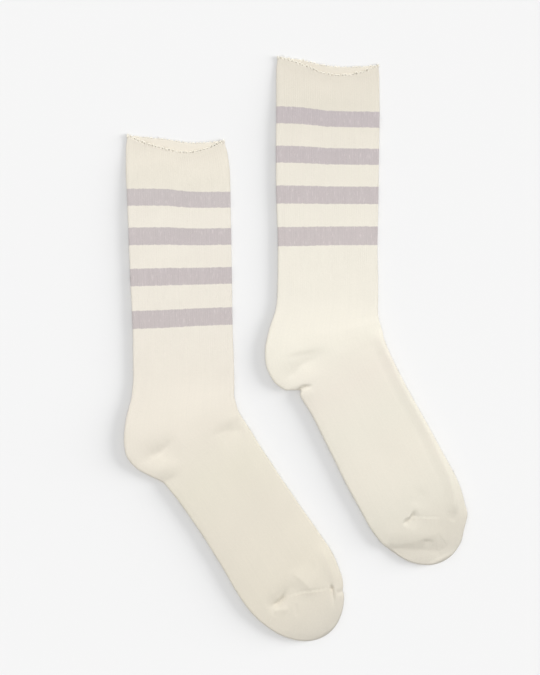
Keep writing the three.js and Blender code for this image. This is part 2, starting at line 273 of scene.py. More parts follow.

# Tints of the cream yarn along each sock, as rendered on the pale floor: distance along, then red, green, blue. They
# hold painted shade: they fall towards the toe's tip, where the cloth turns down away from the light, and the right
# sock is painted lighter than the left because it lies nearer the light. They are also darker at the cuff's edge.
CREAM_TINTS_WITH_PAINTED_SHADE = {
    "left_sock": [
        (0, 234, 227, 213),
        (35, 236, 230, 216),
        (65, 240, 234, 222),
        (150, 239, 233, 221),
        (215, 237, 230, 217),
        (250, 236, 229, 215),
        (290, 232, 226, 210),
        (340, 230, 223, 208),
        (395, 229, 222, 206),
        (425, 227, 220, 205),
        (454, 219, 213, 200),
    ],
    "right_sock": [
        (0, 229, 222, 208),
        (35, 231, 225, 211),
        (62, 237, 231, 218),
        (130, 240, 235, 222),
        (200, 242, 237, 224),
        (240, 242, 237, 223),
        (275, 238, 231, 218),
        (310, 236, 231, 217),
        (350, 236, 230, 216),
        (390, 231, 226, 212),
        (420, 224, 218, 204),
        (446, 224, 218, 205),
    ],
}
MAUVE_TINTS = {
    "left_sock": [(40, 202, 194, 193), (100, 201, 192, 192), (160, 201, 192, 191)],
    "right_sock": [(38, 198, 189, 190), (100, 201, 192, 192), (155, 204, 195, 194)],
}
# The cuff loops' yarn is painted lighter than the cream around it: painted light that makes up for the shade on the
# round loops' sides
CUFF_YARN_PAINTED_LIGHTER = (250, 245, 232)
FLOOR_SEEN = 246
FLOOR_REACH, FLOOR_AT, FLOOR_CELLS = 12000.0, -0.05, 8
# Tones that the knit's material adds, each on the cream and on the mauve, or the same on both
STREAK_TONE, DASH_TONE = (0.035, 0.12), (0.0, 0.19)
# The sunk tone is painted shade that darkens the sunk wale of each rib, more in the mauve
HEATHER_TONE, SUNK_WALE_SHADE = (0.07, 0.15), (-0.022, -0.06)
# The gap tone is painted shade between the stitches' strands and rows
CLOUD_TONE, INNER_TONE, STITCH_GAP_SHADE = 0.03, 0.06, -0.06
# How far a stitch's V slants, how a stripe's edge slants, wanders, sharpens and shifts, and where the painted shade of
# the sunk wales fades
STITCH_SLANT = 1.1
EDGE_SLANT, EDGE_WANDER, EDGE_SHARPNESS, EDGE_SHIFT = -0.9, 1.6, 2.2, 0.2
SUNK_FADE_FROM, SUNK_FADE_LENGTH = 176.0, 30.0
# Depths of the bumps, in metres
STITCH_DEPTH, TWIST_DEPTH = 0.00022, 0.00008


def linear(level):
    """Turns a screen level from 0 to 255 into light: ((level / 255 + 0.055) / 1.055) to the power 2.4."""
    share = level / 255
    return share / 12.92 if share <= 0.04045 else ((share + 0.055) / 1.055) ** 2.4


def as_albedo(tint, look):
    """A tint's share of the floor's light, times the floor's own albedo, with the knit's brightness trim."""
    floor = linear(FLOOR_SEEN)
    return tuple(min(linear(c) / floor * look.floor_albedo * look.knit_trim, 0.95) for c in tint)


def ease(value, low, high):
    """Rises smoothly from 0 at low to 1 at high: 3t^2 - 2t^3 with t the share of the way."""
    t = np.clip((value - low) / (high - low), 0, 1)
    return t * t * (3 - 2 * t)


def bell(distance, width):
    """Falls from 1 at no distance towards 0: exp(-(distance / width)^2)."""
    return np.exp(-((distance / width) ** 2))


def read_column(table, column, at):
    """Reads one column of a table of sections at any distance. Between two rows it is the cubic that has the harmonic
    mean of the neighbouring slopes at each row, or no slope where those disagree, so it never overshoots."""
    rows = np.array(table, float)
    ats, values = rows[:, 0], rows[:, column]
    slopes = np.diff(values) / np.diff(ats)
    product = slopes[:-1] * slopes[1:]
    total = np.where(product > 0, slopes[:-1] + slopes[1:], 1)
    bends = np.concatenate([[0], np.where(product > 0, 2 * product / total, 0), [0]])
    at = np.clip(at, ats[0], ats[-1])
    k = np.clip(np.searchsorted(ats, at, side="right") - 1, 0, len(ats) - 2)
    span = ats[k + 1] - ats[k]
    t = (at - ats[k]) / span
    rest = 1 - t
    ends = values[k] * rest**2 * (1 + 2 * t) + values[k + 1] * t**2 * (3 - 2 * t)
    return ends + span * t * rest * (bends[k] * rest - bends[k + 1] * t)


def gap_at(at):
    """The clear height that is left inside a fold: next to nothing at the pressed cuff, more down the leg."""
    return CUFF_GAP + (OPEN_GAP - CUFF_GAP) * ease(at, GAP_FROM, GAP_TO)


def wall_at(cloth, at):
    """The cloth's thickness: the leg's, thinner towards the cuff's edge, and easing into the thicker looped foot
    through the heel."""
    foot = (cloth.foot_wall - cloth.leg_wall) * ease(at, THICKER_FROM, THICKER_TO)
    return cloth.leg_wall + foot - cloth.cuff_thinning * (1 - ease(at, CUFF_AT, CUFF_FLAT_END))


def follow(points, at, across):
    """Distance from each place to a line of points, the share of the line's length where it is nearest, and 1 on the
    right hand of someone who walks along it or -1 on the left."""
    points = np.array(points, float)
    runs = np.diff(points, axis=0)
    lengths = np.hypot(runs[:, 0], runs[:, 1])
    starts = np.concatenate([[0], np.cumsum(lengths)[:-1]])
    best = np.full(np.broadcast(at, across).shape, np.inf)
    share = np.zeros_like(best)
    side = np.zeros_like(best)
    for point, run, length, start in zip(points, runs, lengths, starts):
        along = ((at - point[0]) * run[0] + (across - point[1]) * run[1]) / length**2
        nearest = np.clip(along, 0, 1)
        off_at = at - point[0] - nearest * run[0]
        off_across = across - point[1] - nearest * run[1]
        distance = np.hypot(off_at, off_across)
        closer = distance < best
        best = np.where(closer, distance, best)
        share = np.where(closer, (start + nearest * length) / lengths.sum(), share)
        side = np.where(closer, np.sign(run[1] * off_at - run[0] * off_across), side)
    return best, share, side


def crease_lift(creases, at, across):
    """Adds up the creases. Each is -depth * (1 - d / (reach * width))^fall down to no depth, with d the root of
    (distance^2 + rounded^2) less rounded, eased in and out along its line."""
    lift = np.zeros(np.broadcast(at, across).shape)
    for one in creases:
        distance, share, side = follow(one["points"], at, across)
        come, go = one["ends"]
        ends = ease(share, 0, come) * ease(1 - share, 0, go)
        width = np.where(side > 0, one["right"], one["left"])
        rounded = one["rounded"]
        near = np.maximum(1 - (np.hypot(distance, rounded) - rounded) / (CREASE_REACH * width), 0)
        lift -= one["depth"] * ends * near**CREASE_FALL
    return lift


def seam_lift(sock, at, across):
    """The closed toe's seam: a low ridge that falls off slowly towards the tip, behind a fine groove on its other
    side, with small puckers across it."""
    distance, share, side = follow(sock["toe_seam"], at, across)
    ridge = SEAM_RIDGE * bell(distance, np.where(side > 0, SEAM_TO_TIP, SEAM_TO_LEG))
    groove = SEAM_GROOVE * bell(distance * side + GROOVE_OFF, GROOVE_WIDTH)
    puckers = SEAM_PUCKER * np.cos(share * 2 * math.pi * SEAM_PUCKERS) * bell(distance, SEAM_TO_TIP)
    return (ridge - groove + puckers) * seam_shows(sock, share)


def seam_shows(sock, share):
    """1 where the seam stands out of the cloth, 0 where it is drawn in, as a function of the share of its line."""
    begin, full, leave, gone = sock["seam_shows"]
    return ease(share, begin, full) * (1 - ease(share, leave, gone))


def soft_waves(sock, at, across):
    """Slow unevenness of cloth that was smoothed by hand: the mean of a few slanted sine waves."""
    dice = np.random.default_rng(sock["seed"])
    total = np.zeros(np.broadcast(at, across).shape)
    for _ in range(WAVES):
        length = dice.uniform(*WAVE_LENGTHS)
        heading = dice.uniform(0, math.pi)
        start = dice.uniform(0, 2 * math.pi)
        total += np.sin((at * math.cos(heading) + across * math.sin(heading)) * 2 * math.pi / length + start)
    return total / WAVES


def section_of(sock, cloth, at, inset):
    """A section square across the sock, of its outside or of its hollow: two faces between two rounded folds. The upper
    face is crowned by air * (1 - share^crown), with the share of the half width. Over the toe the half width follows
    half an ellipse, and its last part rounds down."""
    back = read_column(sock["sections"], 1, at)
    front = read_column(sock["sections"], 2, at)
    for nick in sock["nicks"]:
        pull = nick["depth"] * bell(at - nick["at"], nick["width"])
        back = back - pull * (nick["side"] < 0)
        front = front - pull * (nick["side"] > 0)
    wall = wall_at(cloth, at)
    puff = CUFF_AIR_SHARE + (1 - CUFF_AIR_SHARE) * ease(at, CUFF_AT, CUFF_FLAT_END)
    toe_length = sock["tip_at"] - inset - sock["toe_at"]
    into_toe = np.clip((at - sock["toe_at"]) / toe_length, 0, 1)
    narrowing = np.sqrt(np.maximum(1 - into_toe**2, 1e-9))
    full_half = (back + front) / 2 - inset
    half = full_half * narrowing
    gap = gap_at(at)
    radius = wall + gap / 2 - inset
    slope = full_half / toe_length * into_toe / narrowing
    widest = half * (1 - SMALLEST_TOP)
    fold = np.minimum(radius * np.hypot(1, slope), widest)
    roundness = LEG_ROUNDNESS + (FOOT_ROUNDNESS - LEG_ROUNDNESS) * ease(at, THICKER_FROM, ROUND_FOOT_AT)
    roundness = CUFF_ROUNDNESS + (roundness - CUFF_ROUNDNESS) * ease(at, PRESSED_FROM, PRESSED_TO)
    upper_fold = fold * roundness
    nearness = np.clip(1 - (sock["tip_at"] - inset - at) / radius, 0, 1)
    return dict(
        half=half,
        fold=fold,
        upper_fold=upper_fold,
        centre=(front - back) / 2,
        middle=wall + gap / 2,
        rise=radius * np.sqrt(np.maximum(1 - nearness**2, 1e-9)),
        crown=LEG_CROWN + (FOOT_CROWN - LEG_CROWN) * ease(at, THICKER_FROM, THICKER_TO),
        heel_crown=(TOE_CROWN - FOOT_CROWN) * ease(at, ROUNDER_FROM, ROUNDER_TO),
        tilt=read_column(sock["sections"], 3, at),
        air=read_column(sock["sections"], 4, at) * narrowing * puff,
    )


def lay_down(sock, section, at, across, height, upper):
    """Puts a point of a section in place. Knitted rows tilt with a soft step at one wale and dip at the cuff, more in
    the upper layer. The middle line runs down the leg, round the ankle's arc and out along the foot."""
    q = (across - section["centre"]) / section["half"]
    fade = np.clip((CUFF_CURVE_END - at) / (CUFF_CURVE_END - CUFF_AT), 0, 1) ** 2
    dip = sock["under_dip"] + (sock["over_dip"] - sock["under_dip"]) * upper
    step = np.tanh((across - sock["step_at"]) / STEP_WIDTH)
    tilt = section["tilt"] * (STEP_SHARE * step + (1 - STEP_SHARE) * q)
    along = at + tilt + dip * np.clip(1 - q * q, 0, 1) * (1 + sock["dip_skew"] * q) * fade
    turn = np.clip((along - LEG_LENGTH) / ANKLE_RADIUS, 0, math.radians(sock["turn"]))
    leg = np.minimum(along, LEG_LENGTH)
    foot = np.maximum(along - LEG_LENGTH - ANKLE_RADIUS * turn, 0)
    x = ANKLE_RADIUS * (1 - np.cos(turn)) + foot * np.sin(turn) + across * np.cos(turn)
    y = -leg - ANKLE_RADIUS * np.sin(turn) - foot * np.cos(turn) + across * np.sin(turn)
    lean = math.radians(sock["lean"])
    east = x * math.cos(lean) - y * math.sin(lean) + sock["cuff_centre"][0] + PAIR_SHIFT[0]
    north = x * math.sin(lean) + y * math.cos(lean) + sock["cuff_centre"][1] + PAIR_SHIFT[1]
    return np.stack(np.broadcast_arrays(east, north, height), -1)


def arc_lengths(part):
    """Lengths of a section's quarter folds, pi / 2 * root of the mean square of their half axes, above and below, and
    of half its upper face and half its sole side."""
    over = math.pi / 2 * np.sqrt((part["upper_fold"] ** 2 + part["rise"] ** 2) / 2)
    under = math.pi / 2 * np.sqrt((part["fold"] ** 2 + part["rise"] ** 2) / 2)
    return over, under, part["half"] - part["upper_fold"], part["half"] - part["fold"]


def cloth_surface(sock, cloth, at, share, inset, ribs=1.0):
    """The cloth as a function of the distance along and the share of the way round, from the middle of the heel-side
    fold over the upper layer, the shin-side fold and the sole side. Shares are spread by arc length. A fold's points
    are at (a * cos^fullness, b * sin^fullness). Ribs, creases, the toe's seam and slow waves move each point along
    the section's own outward direction. inset 0 is the outside."""
    at, share, inset = np.broadcast_arrays(np.asarray(at, float), share, inset)
    part = section_of(sock, cloth, at, inset)
    over, under, face, sole = arc_lengths(part)
    gone = (share % 1.0) * 2 * (over + under + face + sole)
    stops = np.cumsum([over, 2 * face, over, under, 2 * sole, under], axis=0)
    angle = math.pi / 2 * (
        np.clip(gone / over, 0, 1)
        + np.clip((gone - stops[1]) / over, 0, 1)
        + np.clip((gone - stops[2]) / under, 0, 1)
        + np.clip((gone - stops[4]) / under, 0, 1)
    )
    slide = -1 + np.clip((gone - stops[0]) / face, 0, 2)
    sole_slide = 1 - np.clip((gone - stops[3]) / sole, 0, 2)
    upper = (np.sin(angle) + 1) / 2
    on_upper = gone <= stops[2]
    reach = np.where(on_upper, face * slide, sole * sole_slide)
    fold = np.where(on_upper, part["upper_fold"], part["fold"])
    rise = part["rise"]
    off_centre = reach - fold * np.sign(np.cos(angle)) * np.abs(np.cos(angle)) ** FULLNESS
    across = part["centre"] + off_centre
    to_edge = np.minimum(np.abs(off_centre) / part["half"], 1)
    power = part["crown"] + part["heel_crown"] * (off_centre < 0)
    crown = part["air"] * (1 - to_edge**power) * on_upper
    height = part["middle"] + rise * np.sign(np.sin(angle)) * np.abs(np.sin(angle)) ** FULLNESS + crown
    out_across, out_height = -np.cos(angle), np.sin(angle)

    depth_share = inset / wall_at(cloth, at)
    outside = 1 - depth_share
    column = np.rint(share * RIBS_ROUND * COLUMNS_A_RIB).astype(int) % COLUMNS_A_RIB
    profile = RIB_PROFILE[column]
    ribbed = (1 - ease(at, RIBS_FADE_FROM, RIBS_FADE_TO)) * ribs
    on_face = ease(upper, 0.05, 0.5)
    rib = on_face * (profile - RIB_LEVEL) + (1 - on_face) * SIDE_RIB_SHARE * (profile - 1)
    rib = cloth.rib_height * ribbed * rib
    folds = crease_lift(sock["creases"], at, across) + cloth.wave_height * soft_waves(sock, at, across)
    seam = seam_lift(sock, at, across)
    below = np.minimum(crease_lift(sock["sole_creases"], at, across), 0)
    near_tip = 1 - ease(at, sock["tip_at"] - PLAIN_TIP_FROM, sock["tip_at"] - PLAIN_TIP_TO)
    sunk = (folds * ease(upper, 0.0, 1.0) + below * (1 - upper) ** 4) * (1 - CREASE_LOST_INSIDE * depth_share)
    move = (rib * (outside - RIB_INSIDE * depth_share) + sunk) * near_tip + seam * outside * upper**3
    across = across + out_across * move
    height = height + out_height * move
    hollow_floor = part["middle"] + HOLLOW_CLEAR
    height = np.where((depth_share > 0.99) & (upper > 0.99), np.maximum(height, hollow_floor), height)
    return lay_down(sock, part, at, across, np.maximum(height, 0), upper)


def steps(*stretches):
    """Distances along a sock, from stretches of (start, end, spacing)."""
    return np.concatenate([np.linspace(a, b, max(round((b - a) / gap), 1), endpoint=False) for a, b, gap in stretches])


def toe_close(start, sock, inset, count):
    """Distances over the closing toe: toe + length * sin(angle), in even steps of the angle, without the tip."""
    length = sock["tip_at"] - inset - sock["toe_at"]
    first = math.asin((start - sock["toe_at"]) / length)
    angles = np.linspace(first, math.pi / 2, count, endpoint=False)
    return sock["toe_at"] + length * np.sin(angles)


def fill_mesh(name, vertices, faces, uv_maps, material):
    """Makes one smooth, closed mesh object from points in millimetres, with any number of UV maps."""
    mesh = bpy.data.meshes.new(name)
    mesh.from_pydata(np.asarray(vertices) * MM, [], faces)
    for map_name, places in uv_maps.items():
        layer = mesh.uv_layers.new(name=map_name)
        layer.data.foreach_set("uv", np.asarray(places, np.float32).ravel())
    mesh.polygons.foreach_set("use_smooth", np.ones(len(mesh.polygons), bool))
    mesh.materials.append(material)
    mesh.validate()
    mesh.update()
    piece = bpy.data.objects.new(name, mesh)
    bpy.context.scene.collection.objects.link(piece)
    return piece


def knit_tube(sock_name, cloth, material):
    """One sock as a closed shell: rings from the tip up the outside, over the rounded rim and down the hollow."""
    sock = SOCKS[sock_name]
    columns = RIBS_ROUND * COLUMNS_A_RIB
    seam_from, seam_to = sock["toe_at"] + SEAM_RINGS_FROM, sock["toe_at"] + SEAM_RINGS_TO
    foot_wall = cloth.foot_wall
    rim = float(wall_at(cloth, CUFF_AT)) / 2
    edge_at = CUFF_AT + rim

    def skin(rings, spacings, seam_end, inset, toe_rings):
        """Distances of the rings of one skin, from the cuff to the toe."""
        cuff, foot, seam = spacings
        after = (rings[-1][1], seam_from, foot), (seam_from, seam_end, seam)
        along = steps((edge_at, CUFF_RINGS_END, cuff), *rings, *after)
        return np.concatenate([along, toe_close(seam_end, sock, inset, toe_rings)])

    outer = skin(OUTER_RINGS, OUTER_SPACINGS, seam_to, 0, OUTER_TOE_RINGS)[::-1]
    inner = skin(INNER_RINGS, INNER_SPACINGS, seam_to - HOLLOW_SHORTER, foot_wall, INNER_TOE_RINGS)
    over = np.linspace(0, math.pi, RIM_RINGS + 2)[1:-1]
    rim_at = edge_at - rim * np.sin(over)
    ats = np.concatenate([outer, rim_at, inner])
    depth = np.concatenate([np.zeros(len(outer)), (1 - np.cos(over)) / 2, np.ones(len(inner))])
    insets = depth * wall_at(cloth, ats)
    shares = np.arange(columns) / columns
    rings = cloth_surface(sock, cloth, ats[:, None], shares[None, :], insets[:, None])

    tip_out = cloth_tip(sock, cloth, 0.0)
    tip_in = cloth_tip(sock, cloth, foot_wall)
    vertices = np.concatenate([rings.reshape(-1, 3), [tip_out, tip_in]])
    row = np.arange(len(ats) - 1)[:, None] * columns
    col = np.arange(columns)[None, :]
    after = (col + 1) % columns
    quads = np.stack([row + col, row + after, row + columns + after, row + columns + col], -1).reshape(-1, 4)
    first_tip = np.stack([np.full(columns, rings.size // 3), after[0], col[0]], -1)
    last = (len(ats) - 1) * columns
    last_tip = np.stack([np.full(columns, rings.size // 3 + 1), last + col[0], last + after[0]], -1)

    wales = RIBS_ROUND * WALES_A_RIB
    wale = np.arange(columns + 1) / columns * wales + 0.5
    is_outer = np.arange(len(ats)) < len(outer) + len(over)
    outer_u, inner_u = (start + width * wale[None, :] / wales for start, width in (OUTER_U, INNER_U))
    bake_u = np.where(is_outer[:, None], outer_u, inner_u)
    bake_v = np.interp(ats, [CUFF_AT, sock["tip_at"]], [BAKE_TOP, BAKE_BOTTOM])
    rim_rows = (np.arange(len(ats)) >= len(outer)) & is_outer
    bake_v = np.where(rim_rows, BAKE_TOP + RIM_V * (np.cumsum(rim_rows) / rim_rows.sum()), bake_v)
    inner_start = np.where(is_outer, 0, INNER_WALES)
    knit_map = np.stack(np.broadcast_arrays(wale[None, :] + inner_start[:, None], ats[:, None]), -1)
    bake_map = np.stack(np.broadcast_arrays(bake_u, bake_v[:, None]), -1)

    def corners(places, tip_v):
        """A map's places at every face's corners: the rings' quads, then the triangles round both tips."""
        grid = np.stack([places[:-1, :-1], places[:-1, 1:], places[1:, 1:], places[1:, :-1]], 2)
        fans = []
        first, last = places[0], places[-1]
        for before, after, v in ((first[1:], first[:-1], tip_v[0]), (last[:-1], last[1:], tip_v[1])):
            tip = np.stack([(before[:, 0] + after[:, 0]) / 2, np.full(columns, v)], -1)
            fans.append(np.stack([tip, before, after], 1))
        return np.concatenate([part.reshape(-1, 2) for part in (grid, *fans)])

    uv_maps = {
        "knit": corners(knit_map, (sock["tip_at"], sock["tip_at"] - foot_wall)),
        "OFBake": corners(bake_map, TIPS_V),
    }
    faces = quads.tolist() + first_tip.tolist() + last_tip.tolist()
    return fill_mesh(f"{sock_name}_knit", vertices, faces, uv_maps, material)


def cloth_tip(sock, cloth, inset):
    """The single point where the rings of the outside, or of the hollow, close."""
    at = np.array(sock["tip_at"] - inset)
    part = section_of(sock, cloth, at, np.array(inset))
    return lay_down(sock, part, at, part["centre"], part["middle"], np.array(0.5))


def tube_batch(paths, radius, sides, taper=0.0):
    """Sweeps a small round along every path at once: ring = point + radius * (cos * normal + sin * binormal), closed by
    a flat fan at both ends. taper thins the last point. Returns vertices, quads, end fans and each tube's map."""
    tubes, points, _ = paths.shape
    tangent = np.gradient(paths, axis=1)
    tangent /= np.linalg.norm(tangent, axis=2, keepdims=True)
    chord = paths[:, -1] - paths[:, 0]
    bulge = paths[:, points // 2] - (paths[:, -1] + paths[:, 0]) / 2
    plane = np.cross(chord, bulge)
    size = np.linalg.norm(plane, axis=1, keepdims=True)
    plane = np.where(size > 1e-9, plane / np.maximum(size, 1e-9), [0.0, 0.0, 1.0])
    side = plane[:, None, :] - tangent * np.sum(plane[:, None, :] * tangent, 2, keepdims=True)
    side /= np.linalg.norm(side, axis=2, keepdims=True)
    other = np.cross(tangent, side)
    thin = 1 - taper * np.linspace(0, 1, points)[None, :, None, None] ** 1.5
    radius = np.broadcast_to(np.asarray(radius, float), (tubes,))[:, None, None, None] * thin
    round_ = np.arange(sides) / sides * 2 * math.pi
    ring = np.cos(round_)[:, None] * side[:, :, None, :] + np.sin(round_)[:, None] * other[:, :, None, :]
    vertices = (paths[:, :, None, :] + radius * ring).reshape(-1, 3)
    start = (np.arange(tubes) * points * sides)[:, None, None]
    low = start + (np.arange(points - 1) * sides)[None, :, None]
    a, b = np.arange(sides), (np.arange(sides) + 1) % sides
    quads = np.stack([low + a, low + b, low + sides + b, low + sides + a], -1).reshape(-1, 4)
    first = (start[:, 0] + a[::-1]).reshape(-1, sides)
    last = (start[:, 0] + (points - 1) * sides + a).reshape(-1, sides)
    lengths = np.linalg.norm(np.diff(paths, axis=1), axis=2)
    run = np.concatenate([np.zeros((tubes, 1)), np.cumsum(lengths, 1)], 1)
    u = np.arange(sides + 1) / sides
    grid = np.stack(np.broadcast_arrays(u[None, None, :], run[:, :, None]), -1)
    body = np.stack([grid[:, :-1, :-1], grid[:, :-1, 1:], grid[:, 1:, 1:], grid[:, 1:, :-1]], 3).reshape(-1, 2)
    caps = np.concatenate([grid[:, 0, :-1][:, ::-1].reshape(-1, 2), grid[:, -1, :-1].reshape(-1, 2)])
    return vertices, quads.tolist() + first.tolist() + last.tolist(), {"yarn": np.concatenate([body, caps])}


def rim_frame(sock, cloth, share):
    """Points on the cuff's rim, with the direction out of the cuff, round it, and square off the cloth."""
    inset = wall_at(cloth, np.array(CUFF_AT)) / 2

    def point(down, round_by):
        return cloth_surface(sock, cloth, np.full_like(share, CUFF_AT + down), share + round_by, inset, ribs=0.0)

    here = point(0.0, 0.0)
    out = here - point(2.0, 0.0)
    out /= np.linalg.norm(out, axis=1, keepdims=True)
    round_ = point(0.0, 0.002) - point(0.0, -0.002)
    round_ -= out * np.sum(round_ * out, 1, keepdims=True)
    round_ /= np.linalg.norm(round_, axis=1, keepdims=True)
    return here, out, round_, np.cross(round_, out)


def tube_piece(sock_name, kind, paths, radius, sides, material, taper=0.0):
    """One mesh of a sock's tubes, named after its side and kind."""
    side = sock_name.split("_")[0]
    return fill_mesh(f"{side}_{kind}", *tube_batch(paths, radius, sides, taper), material)


def cuff_loops(sock_name, cloth, material):
    """The cast-on loops along the cuff: arches point + width * cos * round + height * sin * out, each with its own size
    and lean, so that small holes show between them and the rim, hardly any on the lower layer."""
    sock = SOCKS[sock_name]
    dice = np.random.default_rng(sock["seed"] + 100)
    count = LOOPS_ROUND
    share = (np.arange(count) + dice.uniform(-0.15, 0.15, count)) / count
    here, out, round_, square = rim_frame(sock, cloth, share)
    width = dice.uniform(*LOOP_WIDTH, count)
    reach = dice.uniform(*LOOP_HEIGHT, count) * cloth.loop_reach * np.where(share < 0.5, 1.0, LOWER_LOOP)
    lean = dice.normal(0, 0.2, count)
    side_lean = dice.normal(0, 0.25, count)
    angle = np.linspace(-0.12, 1.12, 9) * math.pi
    wide = np.cos(angle)[None, :] * width[:, None]
    tall = np.sin(angle)[None, :] * reach[:, None]
    paths = (
        here[:, None, :]
        + wide[:, :, None] * round_[:, None, :]
        + (tall - LOOP_FEET)[:, :, None] * (out + side_lean[:, None] * round_)[:, None, :]
        + (np.maximum(tall, 0) * lean[:, None])[:, :, None] * square[:, None, :]
    )
    radius = cloth.loop_yarn / 2
    paths[:, :, 2] = np.maximum(paths[:, :, 2], radius)
    return tube_piece(sock_name, "cuff_loops", paths, radius, YARN_SIDES, material)


def share_on_top(sock, cloth, at, across):
    """The share of the way round at which the upper face has a given distance across."""
    part = section_of(sock, cloth, np.asarray(at, float), np.zeros_like(np.asarray(at, float)))
    over, under, face, sole = arc_lengths(part)
    slide = np.clip((across - part["centre"]) / face, -1, 1)
    return (over + (slide + 1) * face) / (2 * (over + under + face + sole))


def toe_seam(sock_name, cloth, material):
    """The linking yarn over the toe's seam: short arcs laid one after another along the seam's line, each rising over
    the ridge and dipping back into the cloth."""
    sock = SOCKS[sock_name]
    dice = np.random.default_rng(sock["seed"] + 200)
    line = np.array(sock["toe_seam"], float)
    run = np.concatenate([[0], np.cumsum(np.hypot(*np.diff(line, axis=0).T))])
    starts = np.arange(SEAM_ENDS[0], run[-1] - SEAM_ENDS[1], cloth.seam_stitch)
    starts = starts + dice.uniform(-0.12, 0.12, len(starts))
    reach = np.linspace(0, 1, 6)[None, :]
    along = starts[:, None] + reach * cloth.seam_stitch * SEAM_OVERLAP
    at = np.interp(along, run, line[:, 0])
    across = np.interp(along, run, line[:, 1])
    slant = (reach - 0.5) * SEAM_SLANT
    at, across = at + slant, across + slant * 0.3
    surface = cloth_surface(sock, cloth, at, share_on_top(sock, cloth, at, across), np.zeros_like(at))
    shown = seam_shows(sock, along / run[-1])
    surface[:, :, 2] += SEAM_ARCH * np.sin(math.pi * reach) - SEAM_DRAWN_IN + SEAM_RISE * shown
    return tube_piece(sock_name, "toe_seam", surface, SEAM_YARN / 2, YARN_SIDES, material)


def loose_fibres(sock_name, cloth, material):
    """Fine fibre ends that stand off the knit: each a bowed, tapering hair whose path is root + length * (t * way +
    t^2 * bow). Some fringe the cuff's rim, the rest are densest along the folds, and none grow under the sock."""
    sock = SOCKS[sock_name]
    dice = np.random.default_rng(sock["seed"] + 300)
    count = cloth.fibres
    at = dice.uniform(0, sock["tip_at"] - 5, count)
    share = dice.uniform(0.0, 0.52, count)
    edge = dice.uniform(0, 1, count) < FOLD_FIBRES
    share = np.where(edge, dice.choice([0.0, 0.502], count) + dice.normal(0, 0.012, count), share)
    root = cloth_surface(sock, cloth, at, share, 0.0, ribs=0.5)
    smooth, ahead, down = (
        cloth_surface(sock, cloth, at + step, share + turn, 0.0, ribs=0.0)
        for step, turn in ((0.0, 0.0), (0.0, 0.003), (1.0, 0.0))
    )
    square = np.cross(down - smooth, ahead - smooth)
    square /= np.maximum(np.linalg.norm(square, axis=1, keepdims=True), 1e-9)
    square *= np.where(square[:, 2:] < -0.5, -1, 1)
    way = square * 0.7 + dice.normal(0, 0.55, (count, 3))
    way /= np.linalg.norm(way, axis=1, keepdims=True)
    bow = dice.normal(0, 0.5, (count, 3))
    length = dice.uniform(*FIBRE_LENGTH, count)
    fringe = count // FRINGE_EVERY
    rim_share = dice.uniform(0, 1, fringe)
    rim, out, round_, off = rim_frame(sock, cloth, rim_share)
    root[:fringe] = rim + off * dice.normal(0, 0.25, fringe)[:, None] - 0.5 * out
    way[:fringe] = out + 0.7 * dice.normal(0, 1, (fringe, 1)) * round_ + 0.3 * dice.normal(0, 1, (fringe, 1)) * off
    length[:fringe] = dice.uniform(*FRINGE_LENGTH, fringe)
    square[:fringe] = 0
    width = np.where(np.arange(count) < fringe, FRINGE_WIDTH, 1.0) * cloth.fibre_width
    t = np.linspace(0, 1, 5)[None, :, None]
    hair = length[:, None, None] * (t * way[:, None, :] + t**2 * bow[:, None, :])
    paths = root[:, None, :] + hair - 0.1 * square[:, None, :]
    paths[:, :, 2] = np.maximum(paths[:, :, 2], 0.08)
    return tube_piece(sock_name, "fibres", paths, width / 2, FIBRE_SIDES, material, taper=0.6)


